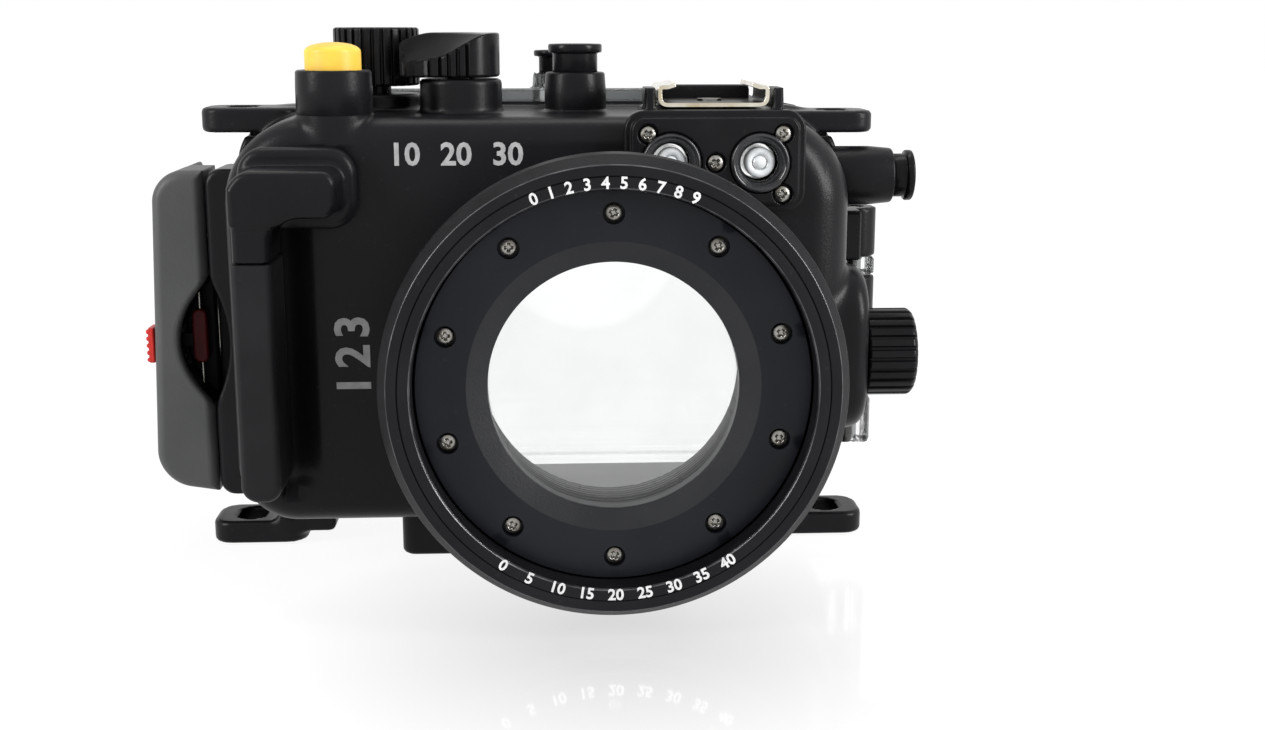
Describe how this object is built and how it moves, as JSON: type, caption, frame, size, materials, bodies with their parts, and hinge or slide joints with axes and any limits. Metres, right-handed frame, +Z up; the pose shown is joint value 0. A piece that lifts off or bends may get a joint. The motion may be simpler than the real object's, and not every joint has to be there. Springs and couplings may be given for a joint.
{
  "type": "underwater camera housing",
  "caption": "Waterproof housing for a pocket camera: black shell with a round threaded port, clear hinged back door, side latch, grip, push buttons, knobs and a cold shoe.",
  "frame": {"origin": "bottom centre of the whole housing's box, on the plane of the tripod boss and the lower strap lugs", "axes": "+X to the right seen from the port's side, +Y from the port back to the door, +Z up"},
  "size_m": [0.15, 0.093, 0.1014],
  "materials": {
    "black_shell": "fine satin texture, moulded",
    "black_controls": "semi-gloss, moulded",
    "grey_latch": "fine satin texture, moulded",
    "black_anodised": "bead-blasted and anodised",
    "black_bezel": "satin, moulded, with a pebbled chamfer",
    "black_rubber": "matte",
    "clear_plastic": "clear polycarbonate, polished",
    "window_glass": "polished optical glass",
    "steel": "stainless, passivated",
    "chrome": "bright plated",
    "brass": "turned",
    "yellow_cap": "satin, moulded",
    "red_lock": "satin, moulded"
  },
  "bodies": {
    "housing": {"front_shell": "black_shell", "front_grip": "black_shell", "grip_sleeve": "black_rubber", "port_ring": "black_anodised", "port_bezel": "black_bezel", "port_glass": "window_glass", "port_glass_seal": "black_rubber", "port_screw_1": "steel", "port_screw_2": "steel", "port_screw_3": "steel", "port_screw_4": "steel", "port_screw_5": "steel", "port_screw_6": "steel", "port_screw_7": "steel", "port_screw_8": "steel", "port_screw_9": "steel", "port_screw_10": "steel", "tripod_insert": "brass", "fibre_plate": "black_shell", "fibre_screw_1": "steel", "fibre_screw_2": "steel", "fibre_screw_3": "steel", "fibre_screw_4": "steel", "fibre_socket_left": "black_anodised", "fibre_socket_right": "black_anodised", "fibre_lens_left": "clear_plastic", "fibre_lens_right": "clear_plastic", "cold_shoe": "chrome", "cold_shoe_screw": "steel", "camera_pad_left": "black_rubber", "camera_pad_right": "black_rubber", "hinge_pin": "steel", "shutter_spring": "steel", "power_spring": "steel"},
    "door": {"back_door": "clear_plastic", "door_seal": "black_rubber", "latch_pin": "steel"},
    "latch": {"latch_lever": "grey_latch", "latch_hook": "steel"},
    "safety": {"safety_slide": "red_lock"},
    "shutter": {"shutter_button": "yellow_cap", "shutter_arm": "steel"},
    "mode": {"mode_knob": "black_controls", "mode_wheel": "black_rubber"},
    "zoom": {"zoom_knob": "black_controls", "zoom_fork": "steel"},
    "power": {"power_button": "black_controls"},
    "playback": {"playback_button": "black_controls"},
    "flash": {"flash_button": "black_controls"},
    "lens_ring": {"ring_knob": "black_controls", "ring_wheel": "black_rubber"},
    "rear_1": {"rear_button_1": "black_controls"},
    "rear_2": {"rear_button_2": "black_controls"},
    "rear_3": {"rear_button_3": "black_controls"},
    "rear_4": {"rear_button_4": "black_controls"}
  },
  "joints": [
    {"name": "door_hinge", "type": "hinge", "parent": "housing", "child": "door", "pos_m": [0.0667, 0.02375, 0.0427], "axis": [0, 0, -1], "range_deg": [0, 105]},
    {"name": "latch_turn", "type": "hinge", "parent": "door", "child": "latch", "pos_m": [-0.0623, 0.03345, 0.0427], "axis": [0, 0, -1], "range_deg": [0, 100]},
    {"name": "safety_push", "type": "slide", "parent": "latch", "child": "safety", "axis": [0, 0, -1], "range_m": [0, 0.0026], "stiffness_N_per_m": 150},
    {"name": "shutter_press", "type": "slide", "parent": "housing", "child": "shutter", "axis": [0, 0, -1], "range_m": [0, 0.0025], "stiffness_N_per_m": 600, "deforming": ["shutter_spring"]},
    {"name": "mode_turn", "type": "hinge", "parent": "housing", "child": "mode", "pos_m": [-0.0285, 0.01345, 0.09], "axis": [0, 0, 1], "continuous": true},
    {"name": "zoom_turn", "type": "hinge", "parent": "housing", "child": "zoom", "pos_m": [-0.012, 0.00345, 0.09], "axis": [0, 0, 1], "range_deg": [-20, 20], "stiffness_Nm_per_rad": 0.02},
    {"name": "power_press", "type": "slide", "parent": "housing", "child": "power", "axis": [0, 0, -1], "range_m": [0, 0.0025], "stiffness_N_per_m": 500, "deforming": ["power_spring"]},
    {"name": "playback_press", "type": "slide", "parent": "door", "child": "playback", "axis": [0, 0, -1], "range_m": [0, 0.0025], "stiffness_N_per_m": 400},
    {"name": "flash_press", "type": "slide", "parent": "housing", "child": "flash", "axis": [-1, 0, 0], "range_m": [0, 0.0025], "stiffness_N_per_m": 500},
    {"name": "lens_ring_turn", "type": "hinge", "parent": "housing", "child": "lens_ring", "pos_m": [0.067, -0.00055, 0.04], "axis": [1, 0, 0], "continuous": true},
    {"name": "rear_press_1", "type": "slide", "parent": "door", "child": "rear_1", "axis": [0, -1, 0], "range_m": [0, 0.002], "stiffness_N_per_m": 400},
    {"name": "rear_press_2", "type": "slide", "parent": "door", "child": "rear_2", "axis": [0, -1, 0], "range_m": [0, 0.002], "stiffness_N_per_m": 400},
    {"name": "rear_press_3", "type": "slide", "parent": "door", "child": "rear_3", "axis": [0, -1, 0], "range_m": [0, 0.002], "stiffness_N_per_m": 400},
    {"name": "rear_press_4", "type": "slide", "parent": "door", "child": "rear_4", "axis": [0, -1, 0], "range_m": [0, 0.002], "stiffness_N_per_m": 400}
  ]
}
